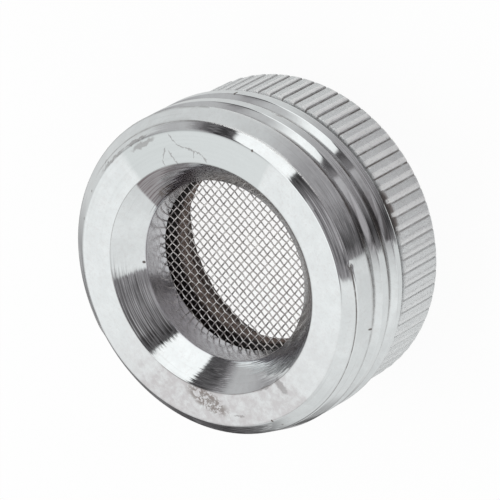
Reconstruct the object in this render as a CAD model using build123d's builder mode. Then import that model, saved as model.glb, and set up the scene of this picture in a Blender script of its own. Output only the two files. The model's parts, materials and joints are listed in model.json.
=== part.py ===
"""Hose adapter for a tap: a turned and plated body with a hose thread, a wire screen and a rubber washer.

The part stands on the rim of its knurled collar. Z runs up its axis, and the hose end is at the top.
Millimetres.
"""

import os
from math import radians, tan

from build123d import *

# Overall form of the body
total_length = 12.55
collar_length = 4.75
collar_diameter = 26.1
collar_chamfer = 0.3
neck_width = 1.2
neck_diameter = 24.8

# Hose thread: straight, 11.5 turns to the inch, with flat crests
hose_thread_diameter = 26.99
hose_thread_pitch = 25.4 / 11.5
hose_thread_depth = 0.9
hose_thread_crest = 0.85
hose_thread_flank_angle = 30
hose_thread_first_angle = -88
hose_end_chamfer = 0.95
hose_lead_in_length = 1.4
hose_lead_in_rise = 0.45

# Waterway from the hose end down to the screen
mouth_cone_diameter = 18.9
waterway_diameter = 14.8
screen_seat_depth = 4.75

# Socket for the tap: a fine thread, held at its crests, with a lead-in and a relief for the washer
tap_thread_diameter = 19.6
tap_lead_in = 0.65
washer_relief_diameter = 20.8

# Knurl on the collar
knurl_count = 72
knurl_first_angle = 2.5
knurl_groove_width = 0.4
knurl_groove_depth = 0.14

# Woven wire screen
screen_side_clearance = 0.8
screen_wire_width = 0.4
screen_wire_thickness = 0.12
screen_wire_overlap = 0.04
screen_wire_pitch = 1.25
screen_wire_count = 11
screen_border = 1.1
screen_weave_angle = 10

# Rubber washer
washer_thickness = 3.2
washer_bore = 14.9
washer_edge_chamfer = 0.2
washer_side_clearance = 0.2
washer_end_clearance = 0.05

# Heights and radii that follow from the sizes above
seat_height = total_length - screen_seat_depth
screen_thickness = 2 * screen_wire_thickness - screen_wire_overlap
screen_height = seat_height - screen_thickness
washer_height = screen_height - washer_thickness
relief_height = washer_height - washer_end_clearance
neck_top = collar_length + neck_width
thread_radius = hose_thread_diameter / 2
collar_radius = collar_diameter / 2
waterway_radius = waterway_diameter / 2
mouth_cone_radius = mouth_cone_diameter / 2
mouth_cone_bottom = total_length - (mouth_cone_radius - waterway_radius)
tap_radius = tap_thread_diameter / 2
relief_radius = washer_relief_diameter / 2
screen_radius = relief_radius - screen_side_clearance
face_radius = thread_radius - hose_lead_in_rise - hose_end_chamfer

# Allowances of the cutting tools: how far they run clear of the metal, and the bar they start from
cut_overrun = 0.3
bar_length = total_length + hose_thread_pitch

# Hose thread groove: a trapezium that starts in the neck and ends near the mouth's chamfer
groove_root_width = (
    hose_thread_pitch
    - hose_thread_crest
    - 2 * hose_thread_depth * tan(radians(hose_thread_flank_angle))
)
groove_top_width = groove_root_width + 2 * (hose_thread_depth + cut_overrun) * tan(
    radians(hose_thread_flank_angle)
)
groove_first_height = collar_length + 0.4 * neck_width
groove_last_height = total_length - 0.9 * hose_end_chamfer

# Body: a threaded and turned stem on a turned collar, bored through, and knurled
with BuildPart() as body:
    with BuildSketch(Plane.XY.offset(collar_length)) as bar_section:
        Circle(thread_radius)
    extrude(amount=bar_length - collar_length)

    with BuildLine() as groove_path:
        groove_helix = Helix(
            pitch=hose_thread_pitch,
            height=groove_last_height - groove_first_height,
            radius=thread_radius,
            center=(0, 0, groove_first_height),
            mode=Mode.PRIVATE,
        )
        add(groove_helix.rotate(Axis.Z, hose_thread_first_angle))
    groove_start = groove_path.line @ 0
    groove_plane = Plane(
        origin=groove_start,
        x_dir=(groove_start.X, groove_start.Y, 0),
        z_dir=groove_path.line % 0,
    )
    with BuildSketch(groove_plane) as groove_section:
        with BuildLine():
            Polyline(
                (-hose_thread_depth, -groove_root_width / 2),
                (cut_overrun, -groove_top_width / 2),
                (cut_overrun, groove_top_width / 2),
                (-hose_thread_depth, groove_root_width / 2),
                close=True,
            )
        make_face()
    sweep(path=groove_path.line, is_frenet=True, mode=Mode.SUBTRACT)

    with BuildSketch(Plane.XZ) as hose_end_cut:
        with BuildLine():
            Polyline(
                (0, total_length),
                (face_radius, total_length),
                (face_radius + hose_end_chamfer, total_length - hose_end_chamfer),
                (thread_radius, total_length - hose_end_chamfer - hose_lead_in_length),
                (thread_radius + cut_overrun, total_length - hose_end_chamfer - hose_lead_in_length),
                (thread_radius + cut_overrun, bar_length + cut_overrun),
                (0, bar_length + cut_overrun),
                close=True,
            )
        make_face()
    revolve(axis=Axis.Z, mode=Mode.SUBTRACT)

    with BuildSketch(Plane.XY.offset(collar_length)) as neck_cut:
        Circle(thread_radius + cut_overrun)
        Circle(neck_diameter / 2, mode=Mode.SUBTRACT)
    extrude(amount=neck_width, mode=Mode.SUBTRACT)

    with BuildSketch(Plane.XZ) as collar_section:
        with BuildLine():
            Polyline(
                (0, 0),
                (collar_radius - collar_chamfer, 0),
                (collar_radius, collar_chamfer),
                (collar_radius, collar_length - collar_chamfer),
                (collar_radius - collar_chamfer, collar_length),
                (0, collar_length),
                close=True,
            )
        make_face()
    revolve(axis=Axis.Z)

    with BuildSketch(Plane.XZ) as inside_cut:
        with BuildLine():
            Polyline(
                (0, -cut_overrun),
                (tap_radius + tap_lead_in + cut_overrun, -cut_overrun),
                (tap_radius, tap_lead_in),
                (tap_radius, relief_height),
                (relief_radius, relief_height),
                (relief_radius, seat_height),
                (waterway_radius, seat_height),
                (waterway_radius, mouth_cone_bottom),
                (mouth_cone_radius + cut_overrun, total_length + cut_overrun),
                (0, total_length + cut_overrun),
                close=True,
            )
        make_face()
    revolve(axis=Axis.Z, mode=Mode.SUBTRACT)

    with BuildSketch() as knurl_section:
        with PolarLocations(collar_radius, knurl_count, start_angle=knurl_first_angle):
            Polygon(
                (-knurl_groove_depth, 0),
                (knurl_groove_depth, -knurl_groove_width),
                (knurl_groove_depth, knurl_groove_width),
                align=None,
            )
    extrude(amount=collar_length, mode=Mode.SUBTRACT)
body.part.label = "body"

# Screen: a ring that is clamped under the washer, and two crossing layers of wires in its window
with BuildPart() as screen:
    with BuildSketch(Plane.XY.offset(screen_height)) as screen_rim:
        Circle(screen_radius)
        Circle(waterway_radius - screen_wire_overlap, mode=Mode.SUBTRACT)
    extrude(amount=screen_thickness)
    for layer, turn in enumerate((0, 90)):
        layer_plane = Plane.XY.offset(
            screen_height + layer * (screen_wire_thickness - screen_wire_overlap)
        ).rotated((0, 0, screen_weave_angle + turn))
        with BuildSketch(layer_plane) as wires:
            with GridLocations(0, screen_wire_pitch, 1, screen_wire_count):
                Rectangle(2 * screen_radius, screen_wire_width)
            Circle(screen_radius - screen_border, mode=Mode.INTERSECT)
        extrude(amount=screen_wire_thickness)
screen.part.label = "screen"

# Washer: a thick flat ring with its edges eased
with BuildPart() as washer:
    with BuildSketch(Plane.XY.offset(washer_height)) as washer_section:
        Circle(relief_radius - washer_side_clearance)
        Circle(washer_bore / 2, mode=Mode.SUBTRACT)
    extrude(amount=washer_thickness)
    chamfer(washer.edges().filter_by(GeomType.CIRCLE), washer_edge_chamfer)
washer.part.label = "washer"

os.makedirs("parts", exist_ok=True)
export_step(body.part, "parts/body.step")
export_step(screen.part, "parts/screen.step")
export_step(washer.part, "parts/washer.step")
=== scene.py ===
"""Looks of the hose adapter for a tap: a chromed body, a woven wire screen and a rubber washer.

Shapes are worked out in millimetres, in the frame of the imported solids: Z runs up the axis, the collar
stands on Z = 0 and the hose end is at the top. make_piece turns them to metres.
"""

import json
from math import atan2, cos, degrees, pi, radians, sin, sqrt, tan

import bpy
import numpy as np
from mathutils import Matrix, Vector


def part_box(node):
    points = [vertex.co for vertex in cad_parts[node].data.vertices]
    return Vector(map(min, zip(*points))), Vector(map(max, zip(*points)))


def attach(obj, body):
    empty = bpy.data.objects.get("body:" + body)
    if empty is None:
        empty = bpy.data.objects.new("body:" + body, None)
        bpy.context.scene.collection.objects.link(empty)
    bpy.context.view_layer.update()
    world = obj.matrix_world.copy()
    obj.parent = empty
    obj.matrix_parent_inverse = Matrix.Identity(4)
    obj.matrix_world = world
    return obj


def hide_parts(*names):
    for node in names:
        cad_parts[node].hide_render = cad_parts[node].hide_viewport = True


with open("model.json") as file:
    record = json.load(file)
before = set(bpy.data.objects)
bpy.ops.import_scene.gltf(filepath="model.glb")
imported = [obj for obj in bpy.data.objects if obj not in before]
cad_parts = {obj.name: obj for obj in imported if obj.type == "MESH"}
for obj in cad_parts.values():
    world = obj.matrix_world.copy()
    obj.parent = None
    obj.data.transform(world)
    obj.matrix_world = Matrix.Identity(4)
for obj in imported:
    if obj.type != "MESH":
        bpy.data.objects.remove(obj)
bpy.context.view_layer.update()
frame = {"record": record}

MM = 0.001
mounts = {mount["name"]: mount["dims"] for mount in frame["record"]["mounts"]}
body_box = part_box("body")
screen_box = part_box("screen")
washer_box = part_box("washer")
total_length = body_box[1].z / MM
seat_height = screen_box[1].z / MM

# Hose thread: depths run from the hose face, and the groove is wound on from its start near the mouth
thread_radius = mounts["hose_thread"]["r_mm"]
thread_pitch = 25.4 / 11.5
thread_depth = 0.9
thread_crest = 0.85
thread_flank = tan(radians(30))
thread_corner = 0.05
edge_line = 0.06
# Strength of the painted shade along the chamfer's edge on the shaded side
chamfer_line_shade = 0.6
thread_end_depth = 6.6
thread_columns = 420
groove_start_angle = radians(-114.7)
groove_start_depth = 0.86
groove_half = (thread_pitch - thread_crest) / 2
groove_root = groove_half - thread_depth * thread_flank
groove_laps = range(-2, 3)
# Painted light: edges near the first side get painted highlights, and edges near the second get painted
# shade
highlight_side = radians(-50)
shaded_side = radians(-101)

# Start of the groove: a notch, then a fine line that opens to the full groove
notch_half = 0.11
notch_turn = radians(2.2)
line_half = 0.09
line_depth = 0.08
line_turn = radians(50)
opening_turn = radians(180)

# Eased hose end: a chamfer that widens round the part, and a tapered band behind it
face_radius = 12.095
chamfer_first = 0.53
chamfer_gain = 0.76
chamfer_even = 0.19
chamfer_corner = 0.03
band_first = 1.23
band_corner = 0.04
ridge_start = radians(186)
ridge_step = 0.15
thread_first_depth = 0.02

# Neck and knurled collar. The profile runs across one tooth, by degrees aside, depth under the crests and
# painted light, which above zero is painted shade in the groove and below zero a painted highlight on the
# ridge. Both run over the collar's edges as far as the knurl's end.
neck_radius = 12.4
# Painted shade down the neck, between the thread and the collar
neck_shades = (0.3, 0.7, 0.8, 0.8, 0.7, 0.3)
collar_length = 4.75
collar_radius = 13.05
collar_chamfer = 0.3
shoulder_radius = collar_radius - collar_chamfer
knurl_count = 72
knurl_first_angle = 2.5
# Side where the knurl's painted shade and highlights are strongest
knurl_shaded_side = radians(-69)
knurl_end = 0.2
knurl_profile_width = 5
knurl_profile = (
    (-2.4, 0.06, 0.0),
    (-0.95, 0.06, 0.0),
    (-0.7, 0.085, 0.35),
    (-0.5, 0.135, 1.0),
    (-0.2, 0.135, 1.0),
    (-0.05, 0.08, 0.4),
    (0.15, 0.02, -0.3),
    (0.35, 0.0, -1.0),
    (1.0, 0.0, -1.0),
    (1.5, 0.005, -1.0),
    (1.8, 0.035, -0.4),
    (2.1, 0.058, 0.0),
)

# Inside: mouth, waterway, relief of the washer, socket with the tap's thread
mouth_radius = 9.45
waterway_radius = 7.4
relief_radius = 10.4
washer_clearance = 0.05
relief_height = washer_box[0].z / MM - washer_clearance
tap_radius = mounts["tap_thread"]["r_mm"]
tap_pitch = 25.4 / 27
tap_thread_depth = 0.5
tap_lead_in = 0.65
tap_thread_fade = 0.3
edge_ease = 0.05
edge_step = 0.04
# Painted shade along the mouth's edge, where the cone meets the hose face
mouth_edge_shade = 0.6
inside_columns = 240

# Fine lines on the hose face, as points in plan
face_lines = (
    ((11.07, -4.35), (10.16, -4.49), (9.34, -5.01), (8.88, -5.6), (8.34, -5.25)),
    ((10.34, -3.41), (9.68, -2.52), (9.19, -2.4)),
    ((10.05, -3.53), (9.04, -3.51), (8.55, -3.71)),
    ((8.93, -5.52), (8.2, -6.0), (7.38, -6.14)),
)

# Pits, painted shade in the neck, scuffs and stains: place, half sizes and turn in degrees. Scuffs and lines
# are shaken, and a scuff's height is over the hose face.
face_pits = ((12.16, 2.4), (9.72, 7.47), (11.12, 5.34), (6.1, -10.41), (-11.82, 2.56))
face_pit_depth = 0.05
other_pits = ((-10.2, -8.7, 10.1), (-12.59, -4.85, 11.3), (11.04, -7.76, 6.93), (4.3, 6.21, 10.65))
pit_size = (0.15, 0.12, 0.4)
shake = 0.5
# Painted shade: a dark patch in the neck, between the thread and the collar
neck_shade = ((-3.3, -12.3, 4.95), (2.7, 0.6, 0.8), -15)
face_scuffs = (
    ((11.85, -1.5, 0.2), (1.6, 0.3, 1.0), 85),
    ((12.3, 1.95, 0.15), (2.0, 0.17, 1.0), 98),
    ((12.4, -0.9, 0.15), (1.6, 0.17, 1.0), 85),
    ((-9.83, 5.32, 0.2), (0.65, 0.09, 1.0), 51),
    ((12.55, 3.05, 0.2), (0.35, 0.07, 1.0), -13),
    ((-9.75, 0.15, 0.2), (0.95, 0.4, 1.0), 5),
    ((-9.15, 1.55, 0.2), (1.0, 0.14, 1.0), 82),
)
stains = (
    ((-7.6, 6.9, total_length), (2.5, 0.95, 0.5), 28),
    ((-12.47, 2.38, total_length - 0.3), (0.3, 0.2, 0.5), 0),
    ((7.7, 0.15, 10.8), (0.7, 1.2, 0.8), 0),
    ((7.64, -11.12, 8.26), (0.8, 0.8, 0.3), 0),
)

# Dull, dusty and streaky sectors of the plate, and sectors with a painted dark reflection on the hose face
# and the mouth's cone: share by azimuth in degrees
painted_face_reflection_stops = ((-69, 0.0), (-67.5, 0.75), (2.4, 0.95), (3.2, 0.0))
dull_foot_stops = (
    (-180, 0.8), (-177, 0.8), (-172, 0.3), (-150, 0.25), (-138, 0.0),
    (80, 0.0), (104, 0.45), (109, 0.9), (180, 0.8),
)
painted_cone_reflection_stops = ((-34, 0.0), (-28, 0.9), (5.6, 1.0), (6.6, 0.0))
painted_cone_reflection_lean = 5.1
tool_line_stops = ((56, 0.0), (66, 0.5), (88, 0.9), (100, 1.0), (103, 0.0))
thread_line_stops = ((-113, 0.0), (-110, 1.0), (-100, 0.8), (-92, 0.3), (-84, 0.0))
dusty_collar_stops = ((-160, 0.0), (-145, 0.7), (-125, 1.0), (-105, 0.95), (-90, 0.6), (-78, 0.0))

# Woven screen and washer. Round a place in plan, the crowns of the first set of wires get painted
# highlights as glints, with painted shade between them.
wire_pitch = 0.53
wire_radius = 0.058
wire_angle = radians(10)
wire_sides = 6
wire_steps = 5
# Place in plan round which the wires' crowns get painted highlights as glints
glinting_wires = np.array((-2.2, 5.4))
glinting_wires_reach = 5.6
crown_height = 0.05
crown_rise = 0.03
between_crowns_shade = 0.55
washer_bore_radius = 7.45
washer_edge = 0.25
# Heights over which the washer is painted paler downwards, as light from below
washer_lit_top = 6.3
washer_lit_full = 5.3

# Zones of the plate: radii between which each fades in or out
collar_zone = (12.4, 12.6)
crest_zone = (12.75, 12.85)
cone_zone = (10.9, 10.6)
socket_zone = (11.4, 10.9)

# Share of the light that the chrome gives back
chrome_color = (0.82, 0.84, 0.85)

# Angles of the points round the axis: in step with the thread outside, and fewer inside
even = np.sort((groove_start_angle + np.linspace(0, 2 * pi, thread_columns, endpoint=False)) % (2 * pi))
coarse = np.linspace(0, 2 * pi, inside_columns, endpoint=False)


def smooth_max(a, b, width):
    """The larger of two heights, with the corner between them rounded over the width."""
    share = np.clip(0.5 + 0.5 * (a - b) / width, 0, 1)
    return b + (a - b) * share + width * share * (1 - share)


def smooth_min(a, b, width):
    return -smooth_max(-a, -b, width)


def smooth_step(x):
    x = np.clip(x, 0, 1)
    return x * x * (3 - 2 * x)


def near_side(angles, side, least, fade):
    """1 near one side of the part, and 0 where the cosine of the angle to that side is under the least."""
    return smooth_step((np.cos(angles - side) - least) / fade)


def round_axis(radius, height, angles):
    return np.stack((radius * np.cos(angles), radius * np.sin(angles), height), axis=-1)


def ring(radius, height, angles=even, soil=0.0):
    """One closed row round the axis: its angles, points and painted light."""
    radius = np.broadcast_to(radius, angles.shape)
    height = np.broadcast_to(height, angles.shape)
    return angles, round_axis(radius, height, angles), np.broadcast_to(soil, angles.shape)


def eased(profile, ease=edge_ease):
    """The points of a turned profile with its inner corners rounded, end points left out."""
    points = [np.array(point, float) for point in profile]
    made = []
    for before, corner, after in zip(points, points[1:], points[2:]):
        back = before - corner
        ahead = after - corner
        first = corner + back * min(ease / np.hypot(*back), 0.4)
        last = corner + ahead * min(ease / np.hypot(*ahead), 0.4)
        made += [first, (first + 2 * corner + last) / 4, last]
    return made


def zip_rows(upper, lower, upper_start, lower_start):
    """Triangles between two rings that have different numbers of points."""
    faces = []
    i = 0
    j = 0
    while i < len(upper) or j < len(lower):
        next_upper = upper[i + 1] if i + 1 < len(upper) else upper[0] + 2 * pi
        next_lower = lower[j + 1] if j + 1 < len(lower) else lower[0] + 2 * pi
        here = (upper_start + i % len(upper), lower_start + j % len(lower))
        if j >= len(lower) or (i < len(upper) and next_upper <= next_lower):
            i += 1
            faces.append((*here, upper_start + i % len(upper)))
        else:
            j += 1
            faces.append((*here, lower_start + j % len(lower)))
    return faces


def skin(rings, closed):
    """Points, faces and painted light of the skin through a row of rings, which may close on its first one.
    """
    points = np.concatenate([row for angles, row, soil in rings])
    painted_lights = np.concatenate([soil for angles, row, soil in rings])
    starts = np.cumsum([0] + [len(angles) for angles, row, soil in rings])
    faces = []
    for i in range(len(rings) if closed else len(rings) - 1):
        j = (i + 1) % len(rings)
        angles = rings[i][0]
        below = rings[j][0]
        if len(below) == len(angles):
            k = np.arange(len(angles))
            n = (k + 1) % len(angles)
            quads = np.stack((starts[i] + k, starts[j] + k, starts[j] + n, starts[i] + n), axis=1)
            faces += quads.tolist()
        else:
            faces += zip_rows(angles, below, starts[i], starts[j])
    return points, faces, painted_lights


def welded(points, faces, painted_lights):
    """The same skin with points that fall together made one, and faces that lost their area left out."""
    points, firsts, places = np.unique(np.round(points, 6), axis=0, return_index=True, return_inverse=True)
    places = places.ravel()
    kept = []
    for face in faces:
        corners = list(dict.fromkeys(places[list(face)].tolist()))
        if len(corners) > 2:
            kept.append(corners)
    return points, kept, painted_lights[firsts]


def make_piece(name, points, faces, painted_lights, material, slot, node):
    """A smooth mesh piece in metres that rides on the part and stands for a solid."""
    mesh = bpy.data.meshes.new(name)
    mesh.from_pydata((points * MM).tolist(), [], faces)
    mesh.shade_smooth()
    # Painted light at each point: painted shade above zero, and a painted highlight below zero
    mesh.attributes.new("soil", "FLOAT", "POINT").data.foreach_set("value", painted_lights)
    mesh.materials.append(material)
    piece = bpy.data.objects.new(name, mesh)
    bpy.context.scene.collection.objects.link(piece)
    weighted = piece.modifiers.new("weighted_normals", "WEIGHTED_NORMAL")
    weighted.keep_sharp = True
    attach(piece, "root")
    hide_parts(node)


# Body

def hose_end_depths(wound):
    """Depths where the chamfer and the tapered band end. Both wind on for a turn and then ease back."""
    turn = ((wound + ridge_start) / (2 * pi)) % 1
    onward = 1 - smooth_step((turn - 1 + ridge_step) / ridge_step)
    chamfer = chamfer_first + chamfer_gain * np.maximum(turn - chamfer_even, 0) * onward
    return chamfer, band_first + thread_pitch * turn * onward


def hose_end_radius(depth, wound):
    """Radius of the turned blank at a depth from the hose face, before the groove is cut."""
    chamfer, band_end = hose_end_depths(wound)
    slope = (thread_radius - face_radius - chamfer) / (band_end - chamfer)
    band = face_radius + chamfer + (depth - chamfer) * slope
    cone = smooth_min(face_radius + depth, band, chamfer_corner)
    return smooth_min(cone, thread_radius, band_corner)


def groove_shape(wound):
    """Half opening, half root, depth and growth of the groove, by the angle wound on from its start."""
    grow = smooth_step((wound - line_turn) / opening_turn)
    notch = np.clip(1 - np.abs(wound) / notch_turn, 0, 1)
    half = line_half + (groove_half - line_half) * grow + notch_half * notch
    depth = line_depth + (thread_depth - line_depth) * grow
    return half, groove_root * grow, depth, grow


def groove_centre(wound):
    return groove_start_depth + thread_pitch * wound / (2 * pi)


def thread_surface(depth, wound):
    """Radius of the threaded stem and its painted light, at depths from the hose face and angles past the
    start.

    Above zero the painted light is painted shade: in the groove's root, along its front edge and, on the
    shaded side, along the chamfer's edge. Below zero it is a painted highlight along these edges on the
    highlight side.
    """
    blank = hose_end_radius(depth, wound)
    radius = blank
    in_shade = near_side(wound, shaded_side, 0.8, 0.1)
    amount = near_side(wound, highlight_side, 0.85, 0.1)
    chamfer_line = smooth_step(2 - 2 * np.abs(depth - hose_end_depths(wound)[0]) / edge_line)
    soil = chamfer_line_shade * in_shade * chamfer_line
    painted_highlight = amount * chamfer_line
    for lap in groove_laps:
        lap_wound = wound + 2 * pi * lap
        half, root, deepest, grow = groove_shape(lap_wound)
        wall = (half - np.abs(depth - groove_centre(lap_wound))) * deepest / (half - root)
        cut = smooth_min(wall, deepest, thread_corner)
        cut = np.where(lap_wound < 0, -thread_depth, cut)
        top = blank + (thread_radius - blank) * grow
        radius = smooth_min(radius, top - cut, thread_corner)
        edge = np.abs(depth - groove_centre(lap_wound) + half) / edge_line
        edge = np.where(lap_wound < 0, 1, edge)
        edge = smooth_step(2 - 2 * edge)
        # Painted shade in the groove's root and along its front edge, and a painted highlight there on the
        # highlight side
        soil = np.maximum(soil, smooth_step((cut / deepest - 0.5) / 0.3))
        soil = np.maximum(soil, edge * (1 - amount))
        painted_highlight = np.maximum(painted_highlight, edge * amount)
    return radius, np.where(painted_highlight > 0.05, -painted_highlight, soil)


def thread_depths(wound):
    """Depths of the points down one column of the stem, which gather at the corners of the groove."""
    depths = []
    corner_steps = np.array((-0.045, -0.015, 0.015, 0.045))
    chamfer = hose_end_depths(wound)[0]
    depths += [chamfer * share for share in (0.25, 0.5, 0.75)]
    depths += list(chamfer + corner_steps)
    for lap in groove_laps:
        here = wound + 2 * pi * lap
        half, root, deepest, grow = groove_shape(here)
        next_half = groove_shape(here + 2 * pi)[0]
        centre = groove_centre(here)
        for side in (-1, 1):
            depths += list(centre + side * (half + corner_steps))
            depths += list(centre + side * (root + np.maximum(corner_steps, -root)))
            depths += [centre + side * (root + (half - root) * share) for share in (0.25, 0.5, 0.75)]
        rear = centre + half
        front = centre + thread_pitch - next_half
        depths += [rear + (front - rear) * share for share in (0.15, 0.3, 0.45, 0.55, 0.7, 0.85)]
    return np.sort(np.clip(depths, thread_first_depth, thread_end_depth))


def threaded_stem():
    """Points, faces and painted light of the threaded stem. Its rows follow the groove, one pitch down each
    turn.
    """
    columns = np.linspace(2 * pi, 0, thread_columns + 1)
    rows = np.stack([thread_depths(wound) for wound in columns])
    radius, soil = thread_surface(rows, columns[:, None])
    points = round_axis(radius, total_length - rows, (groove_start_angle - columns)[:, None])
    index = np.arange(rows.size).reshape(rows.shape)
    left = index[:-1]
    right = index[1:]
    quads = np.stack((left[:, :-1], left[:, 1:], right[:, 1:], right[:, :-1]), axis=-1)
    return points.reshape(-1, 3), quads.reshape(-1, 4).tolist(), soil.ravel()


def knurl_rows():
    """Angles of the points round the knurled collar, their depths under its crests and their painted light.
    """
    step = 360 / knurl_count
    asides, lows, painted_lights = np.array(knurl_profile).T
    asides = asides * step / knurl_profile_width
    angles = np.concatenate([knurl_first_angle + step * i + asides for i in range(knurl_count)]) % 360
    order = np.argsort(angles)
    lows = np.tile(lows, knurl_count)
    painted_lights = np.tile(painted_lights, knurl_count)
    return np.radians(angles)[order], lows[order], painted_lights[order]


def collar_rings():
    """Rings down the knurled collar, with its two edges rounded. Painted shade and highlights are strong on
    one side.
    """
    angles, lows, painted_lights = knurl_rows()
    painted_lights = painted_lights * (0.35 + 0.65 * near_side(angles, knurl_shaded_side, 0.5, 0.45))
    edge = ((-0.3, 0.0), (-0.17, 0.02), (-0.07, 0.09), (-0.02, 0.19), (0.0, 0.32))
    upper = [(collar_radius + aside, collar_length - down) for aside, down in edge]
    lower = [(collar_radius + aside, down) for aside, down in reversed(edge)]
    cut = collar_radius - lows
    rings = []
    for radius, height in upper + lower:
        seen = np.where(cut < radius + knurl_end, painted_lights, 0)
        rings.append(ring(np.minimum(radius, cut), height, angles, seen))
    return rings


def tap_thread_radius_at(height, angles):
    """Radius of the tap's thread in the socket at a height, round the axis."""
    share = (height / tap_pitch - angles / (2 * pi)) % 1
    groove = np.clip(1.1 - 2.3 * np.abs(share - 0.5), 0, 1)
    fade = min(1, (height - tap_lead_in) / tap_thread_fade, (relief_height - height) / tap_thread_fade)
    return tap_radius + tap_thread_depth * groove * max(fade, 0)


def neck_rings(wound):
    """Rings from the foot of the thread down the neck and out to the collar's shoulder."""
    neck_top = total_length - thread_end_depth
    foot_radius, foot_painted_light = thread_surface(0 * wound + thread_end_depth, wound)
    neck = (
        (thread_radius, neck_top),
        (neck_radius, neck_top),
        (neck_radius, collar_length),
        (shoulder_radius, collar_length),
    )
    rings = [ring(foot_radius, neck_top, soil=foot_painted_light), ring(foot_radius - edge_step, neck_top)]
    rings += [ring(radius, height, soil=soil) for (radius, height), soil in zip(eased(neck), neck_shades)]
    rings.append(ring(shoulder_radius - edge_step, collar_length))
    return rings


def socket_rings():
    """Rings in under the rim and up the tap's thread."""
    rim = (
        (shoulder_radius, 0),
        (tap_radius + tap_lead_in, 0),
        (tap_radius, tap_lead_in),
        (tap_radius, relief_height),
    )
    rings = [ring(shoulder_radius - edge_step, 0)]
    rings += [ring(radius, height, coarse) for radius, height in eased(rim)]
    for height in np.arange(tap_lead_in + 0.1, relief_height - 0.05, tap_pitch / 12):
        rings.append(ring(tap_thread_radius_at(height, coarse), height, coarse))
    return rings


def mouth_rings(wound):
    """Rings up past the washer and the screen, up the mouth and out over the hose face."""
    inside = (
        (tap_radius, relief_height - tap_thread_fade),
        (tap_radius, relief_height),
        (relief_radius, relief_height),
        (relief_radius, seat_height),
        (waterway_radius, seat_height),
        (waterway_radius, total_length - mouth_radius + waterway_radius),
        (mouth_radius, total_length),
        (face_radius, total_length),
    )
    rows = eased(inside)
    rings = [ring(radius, height, coarse) for radius, height in rows[:9]]
    rings += [ring(radius, height) for radius, height in rows[9:-2]]
    # Painted shade along the mouth's edge
    rings.append(ring(*rows[-2], soil=mouth_edge_shade))
    rings.append(ring(*rows[-1]))
    face_rows = (mouth_radius + 0.2, face_radius - 0.12, face_radius - 0.02)
    rings += [ring(radius, total_length) for radius in face_rows]
    edge_radius, edge_painted_light = thread_surface(0 * wound + thread_first_depth, wound)
    rings.append(ring(edge_radius, total_length - thread_first_depth, soil=edge_painted_light))
    return rings


def body_skin():
    """Points, faces and painted light of the whole body: the threaded stem joined to the rings of the rest.
    """
    wound = (groove_start_angle - even) % (2 * pi)
    rings = neck_rings(wound) + collar_rings() + socket_rings() + mouth_rings(wound)
    points, faces, painted_lights = skin(rings, closed=False)
    stem_points, stem_faces, stem_painted_lights = threaded_stem()
    faces += (np.array(stem_faces) + len(points)).tolist()
    points = np.concatenate((points, stem_points))
    painted_lights = np.concatenate((painted_lights, stem_painted_lights))
    return welded(points, faces, painted_lights)


# Screen

def wire(start, along, side, offset, half, middle, lift):
    """Points and faces of one crimped wire, as a closed tube. Its points are numbered from the start."""
    steps = max(4, int(2 * half / wire_pitch * wire_steps))
    s = np.linspace(-half, half, steps + 1)
    phase = pi * s / wire_pitch
    centre = s[:, None] * along + offset * side
    centre[:, 2] = middle + lift * np.cos(phase)
    rise = -lift * np.sin(phase) * pi / wire_pitch
    up = np.array((0, 0, 1)) - rise[:, None] * along
    up /= np.linalg.norm(up, axis=1)[:, None]
    round_wire = np.arange(wire_sides) * 2 * pi / wire_sides
    across = np.cos(round_wire)[None, :, None] * side
    over = np.sin(round_wire)[None, :, None] * up[:, None, :]
    tube = (centre[:, None, :] + wire_radius * (across + over)).reshape(-1, 3)
    faces = []
    for k in range(steps):
        for m in range(wire_sides):
            a = start + k * wire_sides + m
            b = start + k * wire_sides + (m + 1) % wire_sides
            faces.append((a, b, b + wire_sides, a + wire_sides))
    ends = np.arange(wire_sides) + start
    faces.append(ends[::-1].tolist())
    faces.append((ends + steps * wire_sides).tolist())
    return tube, faces


def crown_painted_light(tube, middle):
    """Painted light on a wire of the first set: painted highlights below zero on its crowns round one place,
    as glints, and painted shade above zero between them.
    """
    crown = smooth_step((tube[:, 2] - middle - crown_height) / crown_rise)
    soil = between_crowns_shade - (1 + between_crowns_shade) * crown
    away = np.hypot(*(tube[:, :2] - glinting_wires).T)
    return soil * smooth_step(2 - 2 * away / glinting_wires_reach)


def weave():
    """Points, faces and painted light of the two sets of crimped wires, trimmed to the disc."""
    low = screen_box[0].z / MM
    high = screen_box[1].z / MM
    disc_radius = screen_box[1].x / MM
    middle = (low + high) / 2
    crimp = (high - low) / 2 - wire_radius
    count = int(2 * disc_radius / wire_pitch) // 2 * 2 + 1
    points = np.empty((0, 3))
    painted_lights = np.empty(0)
    faces = []
    for way, turn in ((1, wire_angle), (-1, wire_angle + pi / 2)):
        along = np.array((cos(turn), sin(turn), 0))
        side = np.array((-sin(turn), cos(turn), 0))
        for i in range(-(count // 2), count // 2 + 1):
            offset = i * wire_pitch
            half = sqrt(max(disc_radius**2 - offset**2, 1.0)) - wire_radius
            lift = way * (-1) ** i * crimp
            tube, tube_faces = wire(len(points), along, side, offset, half, middle, lift)
            soil = crown_painted_light(tube, middle) if way > 0 else np.zeros(len(tube))
            points = np.concatenate((points, tube))
            painted_lights = np.concatenate((painted_lights, soil))
            faces += tube_faces
    return points, faces, painted_lights


# Washer

def washer_rings():
    """Rings of the washer, with its four edges rounded."""
    low = washer_box[0].z / MM
    high = washer_box[1].z / MM
    outer = washer_box[1].x / MM
    inner = washer_bore_radius
    section = ((outer, high), (outer, low), (inner, low), (inner, high), (outer, high), (outer, low))
    return [ring(radius, height, coarse) for radius, height in eased(section, washer_edge)]


# Shader nodes

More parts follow.
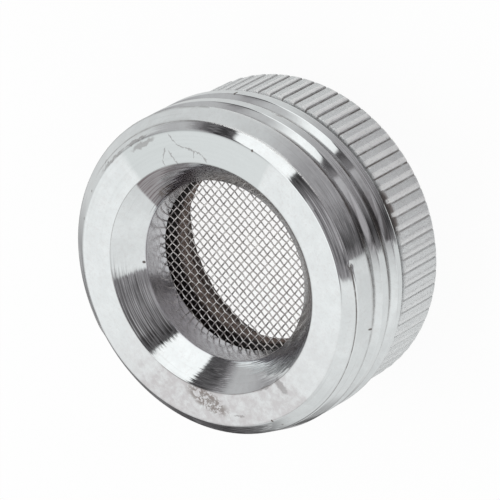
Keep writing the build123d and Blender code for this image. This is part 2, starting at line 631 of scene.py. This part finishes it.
class Shader:
    """Short calls that add nodes to a material or the world and link them."""

    def __init__(self, owner):
        owner.use_nodes = True
        self.nodes = owner.node_tree.nodes
        self.links = owner.node_tree.links
        self.nodes.clear()

    def add(self, kind, inputs=(), **settings):
        node = self.nodes.new("ShaderNode" + kind)
        for name, value in settings.items():
            setattr(node, name, value)
        for name, value in dict(inputs).items():
            if isinstance(value, bpy.types.NodeSocket):
                self.links.new(value, node.inputs[name])
            else:
                node.inputs[name].default_value = value
        return node

    def math(self, operation, *values, clamp=False):
        node = self.add("Math", dict(enumerate(values)), operation=operation, use_clamp=clamp)
        return node.outputs[0]

    def vector(self, operation, inputs, output=0):
        return self.add("VectorMath", inputs, operation=operation).outputs[output]

    def join(self, x, y, z):
        return self.add("CombineXYZ", {0: x, 1: y, 2: z}).outputs[0]

    def range(self, value, low, high, to_low=0.0, to_high=1.0):
        inputs = {"Value": value, "From Min": low, "From Max": high, "To Min": to_low, "To Max": to_high}
        return self.add("MapRange", inputs, interpolation_type="SMOOTHSTEP").outputs[0]

    def both(self, *shares):
        """Share where all the shares meet."""
        result = shares[0]
        for share in shares[1:]:
            result = self.math("MULTIPLY", result, share)
        return result

    def any(self, *shares):
        """Share where at least one of the shares is."""
        result = shares[0]
        for share in shares[1:]:
            result = self.math("MAXIMUM", result, share)
        return result

    def mix(self, share, first, second):
        node = self.add("Mix", data_type="RGBA")
        for socket, value in zip((node.inputs[0], node.inputs[6], node.inputs[7]), (share, first, second)):
            if isinstance(value, bpy.types.NodeSocket):
                self.links.new(value, socket)
            elif isinstance(value, tuple):
                socket.default_value = (*value, 1)
            else:
                socket.default_value = value
        return node.outputs[2]

    def ramp(self, share, stops):
        node = self.add("ValToRGB", {"Fac": share})
        elements = node.color_ramp.elements
        while len(elements) < len(stops):
            elements.new(0.5)
        for element, (place, color) in zip(elements, stops):
            element.position = place
            element.color = (*color, 1)
        return node.outputs[0]

    def noise(self, vector, scale, detail=3.0, roughness=0.5):
        inputs = {"Vector": vector, "Scale": scale, "Detail": detail, "Roughness": roughness}
        return self.add("TexNoise", inputs).outputs["Fac"]

    def bump(self, height, distance, strength=1.0, normal=None):
        inputs = {"Strength": strength, "Distance": distance, "Height": height}
        if normal:
            inputs["Normal"] = normal
        return self.add("Bump", inputs).outputs[0]

    def spot(self, place, centre, size, turn=0.0):
        """1 inside an ellipsoid round a centre, fading to 0 at its edge."""
        inputs = {"Vector": place, "Location": centre, "Rotation": (0, 0, radians(turn)), "Scale": size}
        near = self.add("Mapping", inputs, vector_type="TEXTURE").outputs[0]
        return self.range(self.vector("LENGTH", {0: near}, "Value"), 1.0, 0.55)

    def finish(self, kind, shader):
        output = self.add("Output" + kind)
        self.links.new(shader, output.inputs["Surface"])


class PlateShader(Shader):
    """Nodes that every part of the chrome shares: places on the body, and where each zone of it lies."""

    def __init__(self, owner):
        super().__init__(owner)
        place = self.add("TexCoord").outputs["Object"]
        self.in_mm = self.vector("SCALE", {0: place, "Scale": 1 / MM})
        self.x, self.y, self.z = self.add("SeparateXYZ", {0: self.in_mm}).outputs
        flat = self.join(self.x, self.y, 0.0)
        self.radius = self.vector("LENGTH", {0: flat}, "Value")
        self.facing = self.vector("NORMALIZE", {0: flat})
        self.face = self.range(self.z, total_length - 0.03, total_length - 0.01)
        self.collar = self.both(
            self.range(self.z, collar_length + 0.04, collar_length),
            self.range(self.radius, *collar_zone),
        )
        self.bore = self.both(
            self.range(self.z, seat_height, seat_height + 0.05),
            self.range(self.radius, waterway_radius + 0.1, waterway_radius + 0.03),
        )
        self.cone = self.both(
            self.range(self.z, total_length - 0.01, total_length - 0.04),
            self.range(self.radius, waterway_radius + 0.03, waterway_radius + 0.1),
            self.range(self.radius, *cone_zone),
        )
        self.socket = self.both(
            self.range(self.z, seat_height + 0.02, seat_height - 0.02),
            self.range(self.radius, *socket_zone),
        )

    def turned(self, across, around):
        """Coordinates that change fast down the turned profile and slowly round the axis."""
        along = self.math("MULTIPLY_ADD", self.radius, 0.37, self.z)
        x, y, z = self.add("SeparateXYZ", {0: self.facing}).outputs
        return self.join(
            self.math("MULTIPLY", along, across),
            self.math("MULTIPLY", x, around),
            self.math("MULTIPLY", y, around),
        )

    def sector(self, wander, stops, lean=0.0):
        """Share by azimuth in degrees, between stops at the mouth's edge.

        The edges wander by part of a turn, and lean by degrees for each millimetre inwards.
        """
        azimuth = self.math("MULTIPLY_ADD", self.math("ARCTAN2", self.y, self.x), 1 / (2 * pi), 0.5)
        aside = self.range(self.noise(self.in_mm, 0.8, 4.0), 0.3, 0.7, -wander, wander)
        outward = self.math("SUBTRACT", self.radius, mouth_radius)
        leaning = self.math("MULTIPLY_ADD", outward, lean / 360, aside)
        places = [((angle + 180) / 360, 3 * (share,)) for angle, share in stops]
        return self.ramp(self.math("ADD", azimuth, leaning), places)

    def painted_face_reflection(self):
        """A painted dark reflection on the hose face, between two straight edges."""
        return self.both(self.face, self.sector(0.001, painted_face_reflection_stops))

    def dull_foot(self):
        """Scuffed plate on the hose face, across from the painted reflection."""
        amount = self.range(self.noise(self.in_mm, 1.7, 5.0, 0.65), 0.3, 0.65, 0.3, 1.0)
        return self.both(self.face, self.sector(0.012, dull_foot_stops), amount)

    def painted_cone_reflection(self):
        """A dark, streaky sector of the mouth's cone: a painted reflection."""
        streaks = self.range(self.noise(self.turned(9.0, 2.5), 1.0, 2.0, 0.6), 0.3, 0.7, 0.6, 1.0)
        return self.both(self.cone, self.sector(0.001, painted_cone_reflection_stops, painted_cone_reflection_lean), streaks)

    def tool_lines(self):
        """Dark lines that a coarse tool left in one sector of the mouth's cone."""
        cuts = self.range(self.noise(self.turned(11.0, 0.9), 1.0, 1.0, 0.5), 0.45, 0.55)
        return self.both(self.cone, cuts, self.sector(0.01, tool_line_stops))

    def thread_lines(self):
        """Dark lines that the tool left in one sector of the thread's crests."""
        cuts = self.range(self.noise(self.turned(9.0, 0.8), 1.0, 1.0, 0.5), 0.5, 0.6)
        outside = self.both(
            self.range(self.radius, *crest_zone),
            self.range(self.z, collar_length + 0.8, collar_length + 1.0),
        )
        return self.both(outside, cuts, self.sector(0.008, thread_line_stops))

    def dusty_collar(self):
        """Matt dust on one side of the collar."""
        return self.both(self.collar, self.sector(0.008, dusty_collar_stops))

    def lines(self, scale, width):
        """Fine lines that wander over the plate."""
        wander = self.noise(self.in_mm, scale, 2.0, 0.6)
        off_line = self.math("ABSOLUTE", self.math("SUBTRACT", wander, 0.5))
        return self.range(off_line, width, 0.3 * width)

    def shaken(self):
        """Places in millimetres, moved about a little so that what is drawn there has ragged edges.

        The noise is about one half, so on average they move by half the shake along each axis.
        """
        aside = self.join(self.noise(self.in_mm, 2.5), self.noise(self.in_mm, 3.1), 0.5)
        return self.vector("MULTIPLY_ADD", {0: aside, 1: 3 * (shake,), 2: self.in_mm})

    def wavy_lines(self):
        """Fine wandering lines across the face, where the plate is dull."""
        broken = self.shaken()
        strokes = []
        for path in face_lines:
            for start, end in zip(path, path[1:]):
                along = Vector((end[0] - start[0], end[1] - start[1]))
                middle = [(a + b) / 2 + shake / 2 for a, b in zip(start, end)]
                size = (along.length / 2 + 0.1, 0.075, 1.0)
                turn = degrees(atan2(along.y, along.x))
                strokes.append(self.spot(broken, (*middle, total_length + shake / 2), size, turn))
        return self.both(self.face, self.any(*strokes))

    def specks(self):
        """Small dark pits on the plate, and a patch of painted shade in the neck."""
        on_face = [(*pit, total_length - face_pit_depth) for pit in face_pits]
        pits = [self.spot(self.in_mm, place, pit_size) for place in (*on_face, *other_pits)]
        return self.any(self.spot(self.in_mm, *neck_shade), *pits)

    def scuffs(self):
        """Grey scuffs: a patch and two dashes at the face's edge, short lines, and marks by the mouth."""
        broken = self.shaken()
        spots = []
        for (x, y, over), size, turn in face_scuffs:
            spots.append(self.spot(broken, (x, y, total_length + over), size, turn))
        return self.any(*spots)

    def stain(self):
        """Brown stains, broken up into streaks: along the mouth's edge, in its cone and on the thread."""
        zone = self.any(*[self.spot(self.in_mm, *stain) for stain in stains])
        blots = self.range(self.noise(self.in_mm, 2.2, 4.0, 0.6), 0.44, 0.56)
        return self.both(zone, self.any(blots, self.lines(1.6, 0.05)))


def plate_normal(shader, marks):
    """Bumps of the plate: lathe marks all over, a satin collar and finer marks in the bore."""
    blobs = shader.noise(shader.in_mm, 4.5, 4.0, 0.65)
    fine_marks = shader.noise(shader.turned(26.0, 1.0), 1.0, 2.0)
    normal = shader.bump(marks, 1.2e-5)
    normal = shader.bump(blobs, 6.0e-5, shader.collar, normal)
    return shader.bump(fine_marks, 6.0e-6, shader.bore, normal)


def plate_color(shader, marks, smudge):
    """Colour of the plate: streaks, dull and streaky sectors, painted reflections and duller insides."""
    mottle = shader.noise(shader.in_mm, 3.0, 5.0, 0.7)
    grain = shader.noise(shader.in_mm, 11.0, 3.0)
    dim = tuple(0.94 * tone for tone in chrome_color)
    color = shader.mix(shader.range(smudge, 0.35, 0.7), dim, chrome_color)
    color = shader.mix(shader.range(mottle, 0.45, 0.7, 0.0, 0.3), color, (0.68, 0.65, 0.65))
    smooth = shader.any(shader.face, shader.collar)
    streaks = shader.both(shader.range(marks, 0.6, 0.8, 0.0, 0.12), shader.range(smooth, 1.0, 0.0))
    color = shader.mix(streaks, color, (0.33, 0.31, 0.31))
    # Painted reflection: a darker sector of the hose face
    color = shader.mix(shader.painted_face_reflection(), color, (0.645, 0.67, 0.675))
    color = shader.mix(shader.dull_foot(), color, (0.57, 0.54, 0.55))
    # Painted reflection: a dark sector of the mouth's cone
    color = shader.mix(shader.painted_cone_reflection(), color, (0.22, 0.18, 0.19))
    color = shader.mix(shader.math("MULTIPLY", shader.tool_lines(), 0.85), color, (0.07, 0.07, 0.065))
    color = shader.mix(shader.math("MULTIPLY", shader.thread_lines(), 0.75), color, (0.12, 0.11, 0.11))
    gritty = shader.both(shader.collar, shader.range(grain, 0.5, 0.75, 0.0, 0.5))
    color = shader.mix(gritty, color, (0.42, 0.4, 0.38))
    color = shader.mix(shader.math("MULTIPLY", shader.socket, 0.9), color, (0.13, 0.1, 0.085))
    return shader.mix(shader.math("MULTIPLY", shader.bore, 0.5), color, (0.42, 0.39, 0.43))


def chrome_material():
    """Bright plate over turned brass: lathe marks, a satin collar, a duller bore, wear, painted shade and
    highlights.
    """
    material = bpy.data.materials.new("chrome")
    shader = PlateShader(material)
    soil = shader.add("Attribute", attribute_name="soil").outputs["Fac"]
    marks = shader.noise(shader.turned(6.0, 1.2), 1.0, 1.0, 0.6)
    smudge = shader.noise(shader.in_mm, 0.9, 5.0, 0.6)
    flecks = shader.range(shader.noise(shader.in_mm, 5.0, 2.0), 0.3, 0.5, 0.35, 1.0)

    marked = shader.any(shader.wavy_lines(), shader.scuffs())
    # Painted shade in grooves, along edges and in the neck, broken up, then joined with the dark pits
    broken_soil = shader.both(soil, shader.range(smudge, 0.3, 0.6, 0.35, 1.0))
    dark_patches = shader.any(broken_soil, shader.specks())
    # Painted highlights along edges and on the knurl's ridges, broken into flecks
    painted_highlight = shader.both(shader.math("MULTIPLY", soil, -1.0, clamp=True), flecks)

    color = plate_color(shader, marks, smudge)
    color = shader.mix(shader.math("MULTIPLY", marked, 0.55), color, (0.3, 0.28, 0.28))
    color = shader.mix(shader.math("MULTIPLY", shader.stain(), 0.78), color, (0.2, 0.165, 0.15))
    color = shader.mix(shader.math("MULTIPLY", dark_patches, 0.85), color, (0.12, 0.09, 0.08))
    color = shader.mix(painted_highlight, color, (0.97, 0.97, 0.97))

    roughness = shader.range(smudge, 0.3, 0.75, 0.03, 0.08)
    rougher = (
        (shader.collar, 0.17),
        (shader.bore, 0.06),
        (shader.socket, 0.25),
        (dark_patches, 0.35),
        (marked, 0.2),
        (painted_highlight, 0.4),
    )
    for share, more in rougher:
        roughness = shader.math("MULTIPLY_ADD", share, more, roughness)
    metallic = shader.math("MULTIPLY_ADD", shader.collar, -0.3, 1.0)
    metallic = shader.math("MULTIPLY_ADD", shader.dusty_collar(), -0.35, metallic)
    surface = shader.add(
        "BsdfPrincipled",
        {
            "Base Color": color,
            "Metallic": metallic,
            "Roughness": roughness,
            "Normal": plate_normal(shader, marks),
        },
    )
    shader.finish("Material", surface.outputs[0])
    return material


def steel_material():
    """Drawn wire: greyish steel with darker, duller patches, and painted glints on crowns with painted shade
    between.
    """
    material = bpy.data.materials.new("steel")
    shader = Shader(material)
    place = shader.add("TexCoord").outputs["Object"]
    dark_patches = shader.noise(place, 900.0, 4.0)
    grain = shader.noise(place, 9000.0, 2.0)
    color = shader.mix(shader.range(dark_patches, 0.35, 0.7), (0.5, 0.47, 0.46), (0.82, 0.79, 0.77))
    soil = shader.add("Attribute", attribute_name="soil").outputs["Fac"]
    # Painted shade between the crowns, and painted highlights on them as glints
    in_shade = shader.math("MULTIPLY", soil, 1.0, clamp=True)
    amount = shader.math("MULTIPLY", soil, -1.0, clamp=True)
    color = shader.mix(in_shade, color, (0.14, 0.12, 0.12))
    color = shader.mix(amount, color, (0.98, 0.97, 0.97))
    surface = shader.add(
        "BsdfPrincipled",
        {
            "Base Color": color,
            "Metallic": shader.math("MULTIPLY_ADD", amount, -0.4, 1.0),
            "Roughness": shader.range(dark_patches, 0.3, 0.7, 0.08, 0.2),
            "Normal": shader.bump(grain, 1.0e-5, 0.3),
        },
    )
    shader.finish("Material", surface.outputs[0])
    return material


def rubber_material():
    """Brownish black rubber with a fine grain, painted paler low down as if lit from below."""
    material = bpy.data.materials.new("rubber")
    shader = Shader(material)
    place = shader.add("TexCoord").outputs["Object"]
    bloom = shader.noise(place, 500.0, 5.0, 0.6)
    grain = shader.noise(place, 6000.0, 2.0)
    height = shader.add("SeparateXYZ", {0: place}).outputs[2]
    # Painted light: paler low down, as if lit from below
    marked = shader.range(height, washer_lit_top * MM, washer_lit_full * MM)
    color = shader.mix(shader.range(bloom, 0.4, 0.75), (0.006, 0.004, 0.004), (0.014, 0.01, 0.009))
    color = shader.mix(shader.math("MULTIPLY", marked, 0.9), color, (0.45, 0.36, 0.32))
    surface = shader.add(
        "BsdfPrincipled",
        {
            "Base Color": color,
            "Roughness": shader.range(bloom, 0.3, 0.7, 0.55, 0.75),
            "Specular IOR Level": 0.06,
            "Normal": shader.bump(grain, 2.0e-5, 0.4),
        },
    )
    shader.finish("Material", surface.outputs[0])
    return material


# Room: floor, surroundings, lamp and camera. The metal sees a tent whose bands, from the lowest to the
# highest, give back these display values round the horizon, by azimuth in degrees. They were read from the
# photograph.
tent_low = (
    (-180, 216), (-142, 208), (-136, 205), (-133, 125), (-124, 85), (-118, 67), (-112, 85), (-106, 114),
    (-94, 138), (-70, 151), (-58, 155), (-46, 168), (-34, 184), (-22, 196), (-10, 204), (50, 203),
    (62, 200), (74, 186), (98, 182), (110, 190), (122, 212), (134, 205), (146, 212), (180, 216),
)
tent_rim = (
    (-180, 216), (-142, 210), (-130, 212), (-126, 205), (-123.5, 120), (-117, 81), (-110, 95),
    (-104, 118), (-91, 149), (-78, 152), (-65, 157), (-52, 175), (-40, 194), (-27, 200), (-16, 205),
    (35, 206), (50, 210), (65, 204), (80, 190), (98, 182), (110, 190), (122, 212), (134, 205), (146, 212),
    (180, 216),
)
tent_side = (
    (-180, 225), (-160, 219), (-142, 227), (-139, 218), (-137, 140), (-126, 130), (-116, 145), (-105, 147),
    (-94, 138), (-83, 135), (-72, 100), (-65, 76), (-63.5, 85), (-62, 245), (-58, 252), (-23, 252),
    (-22, 240), (-20, 85), (-15, 78), (-7, 87), (-4, 95), (0, 131), (8, 179), (20, 178), (30, 160),
    (40, 158), (49, 185), (57, 204), (84, 222), (142, 205), (153, 213), (180, 225),
)
tent_top = (
    (-180, 227), (-171, 220), (-161, 210), (-151, 190), (-143, 140), (-138, 133), (-124, 133), (-109, 140),
    (-93, 153), (-84, 160), (-80, 155), (-76, 100), (-63, 78), (-60, 95), (-58, 240), (-49, 248),
    (-36, 249), (-28, 230), (-24, 215), (-17, 187), (-9, 186), (6, 161), (14, 165), (20, 190), (40, 200),
    (60, 208), (84, 235), (130, 226), (180, 227),
)

# The tent is this pale overhead, and has one round dark gap below the horizon
tent_roof = 255
tent_gap = 86
tent_gap_azimuth = radians(105)
tent_gap_height = radians(-22)


def plate_tone(value):
    """Light of the surroundings that chrome gives back as about this display value, from 0 to 255.

    Pale parts of the surroundings are a little mint, and grey parts a little lilac.
    """
    share = value / 255
    linear = ((share + 0.055) / 1.055) ** 2.4
    pale = min(max((value - 140) / 60, 0), 1)
    tint = (1.0 - 0.03 * pale, 0.985 + 0.025 * pale, 1.025 - 0.01 * pale)
    return tuple(linear * hue / tone for hue, tone in zip(tint, chrome_color))


def make_world():
    """A white tent for the eye, and for the metal the same tent with its greyer gaps and dark strips."""
    world = bpy.data.worlds.new("tent")
    bpy.context.scene.world = world
    shader = Shader(world)
    toward = shader.add("TexCoord").outputs["Generated"]
    xyz = shader.add("SeparateXYZ", {0: toward}).outputs
    azimuth = shader.math("MULTIPLY_ADD", shader.math("ARCTAN2", xyz[1], xyz[0]), 1 / (2 * pi), 0.5)

    def band(stops):
        """Light of one band of the tent, round the horizon."""
        return shader.ramp(azimuth, [((angle + 180) / 360, plate_tone(value)) for angle, value in stops])

    def rising(low, high):
        """Share that rises from 0 to 1 between two heights over the horizon, in degrees."""
        return shader.range(xyz[2], sin(radians(low)), sin(radians(high)))

    under = shader.mix(rising(-35, -15), band(tent_low), band(tent_rim))
    upper = shader.mix(rising(41, 50), band(tent_side), band(tent_top))
    upper = shader.mix(rising(68, 74), upper, plate_tone(tent_roof))
    seen = shader.mix(rising(2, 7), under, upper)
    gap = (
        cos(tent_gap_height) * cos(tent_gap_azimuth),
        cos(tent_gap_height) * sin(tent_gap_azimuth),
        sin(tent_gap_height),
    )
    near_gap = shader.vector("DOT_PRODUCT", {0: toward, 1: gap}, "Value")
    in_gap = shader.range(near_gap, cos(radians(38)), cos(radians(6)))
    seen = shader.mix(in_gap, seen, plate_tone(tent_gap))
    height = shader.math("ARCSINE", xyz[2])
    stripes = shader.noise(shader.join(height, 0.0, 0.0), 16.0, 2.0, 0.7)
    darkness = shader.range(shader.add("RGBToBW", {0: seen}).outputs[0], 0.5, 0.3)
    stripe_tone = shader.range(stripes, 0.3, 0.7, 0.2, 1.75)
    shaded = shader.vector("SCALE", {0: seen, "Scale": stripe_tone})
    seen = shader.mix(darkness, seen, shaded)
    path = shader.add("LightPath").outputs
    mirrored = shader.mix(path["Is Glossy Ray"], (0.8, 0.8, 0.8), seen)
    eye = shader.any(path["Is Camera Ray"], path["Is Transmission Ray"])
    color = shader.mix(eye, mirrored, (1.0, 1.0, 1.0))
    background = shader.add("Background", {"Color": color, "Strength": 1.0})
    shader.finish("World", background.outputs[0])


def make_floor():
    """A pale floor that the eye sees as near white, with a faint shadow, and clear from underneath."""
    glow_share = 0.93
    material = bpy.data.materials.new("floor")
    shader = Shader(material)
    place = shader.add("TexCoord").outputs["Object"]
    mottle = shader.range(shader.noise(place, 40.0), 0.3, 0.7, 0.86, 0.9)
    diffuse = shader.add("BsdfDiffuse", {"Color": mottle})
    glow = shader.add("Emission", {"Color": (1, 1, 1, 1), "Strength": 1.0})
    path = shader.add("LightPath").outputs
    eye = shader.any(path["Is Camera Ray"], path["Is Glossy Ray"], path["Is Transmission Ray"])
    share = shader.math("MULTIPLY", eye, glow_share)
    above = shader.add("MixShader", {0: share, 1: diffuse.outputs[0], 2: glow.outputs[0]})
    underside = shader.add("NewGeometry").outputs["Backfacing"]
    clear = shader.add("BsdfTransparent")
    one_sided = shader.add("MixShader", {0: underside, 1: above.outputs[0], 2: clear.outputs[0]})
    shader.finish("Material", one_sided.outputs[0])
    half = 0.6
    low = -0.02 * MM
    corners = [(-half, -half, low), (half, -half, low), (half, half, low), (-half, half, low)]
    mesh = bpy.data.meshes.new("floor")
    mesh.from_pydata(corners, [], [(0, 1, 2, 3)])
    mesh.materials.append(material)
    floor = bpy.data.objects.new("floor", mesh)
    bpy.context.scene.collection.objects.link(floor)
    floor.visible_glossy = False


def make_lamp():
    """A broad soft lamp above and behind the part."""
    light = bpy.data.lights.new("soft_lamp", "AREA")
    light.size = 0.5
    light.energy = 1.2
    lamp = bpy.data.objects.new("soft_lamp", light)
    lamp.location = (0.1, 0.35, 0.6)
    lamp.rotation_euler = (-lamp.location).to_track_quat("-Z", "Y").to_euler()
    lamp.visible_glossy = False
    bpy.context.scene.collection.objects.link(lamp)


def make_camera():
    """The photograph's view: down on the hose end from the -Y side, with the camera rolled on its axis."""
    image_size = 500
    image_focus = 6000
    face_pixel = Vector((210.0, 279.15))
    distance = 466.64
    tilt = Matrix.Rotation(radians(38.84), 3, "X")
    roll = Matrix.Rotation(radians(-118.72), 3, "Z")
    sideways = Matrix.Rotation(radians(-5.61), 3, "Z")
    turn = sideways @ tilt @ roll
    aside = (face_pixel - Vector((image_size / 2, image_size / 2))) / image_focus * distance
    face_seen = Vector((aside.x, -aside.y, -distance))
    camera_data = bpy.data.cameras.new("camera")
    camera_data.sensor_width = 36
    camera_data.lens = camera_data.sensor_width * image_focus / image_size
    camera_data.clip_start = 0.01
    camera_data.clip_end = 10
    camera = bpy.data.objects.new("camera", camera_data)
    camera.matrix_world = turn.to_4x4()
    camera.location = (Vector((0, 0, total_length)) - turn @ face_seen) * MM
    bpy.context.scene.collection.objects.link(camera)
    bpy.context.scene.camera = camera


make_piece("chromed_body", *body_skin(), chrome_material(), "chrome", "body")
make_piece("wire_screen", *weave(), steel_material(), "steel", "screen")
make_piece("rubber_washer", *skin(washer_rings(), closed=True), rubber_material(), "rubber", "washer")
make_world()
make_floor()
make_lamp()
make_camera()
bpy.context.scene.view_settings.view_transform = "Standard"
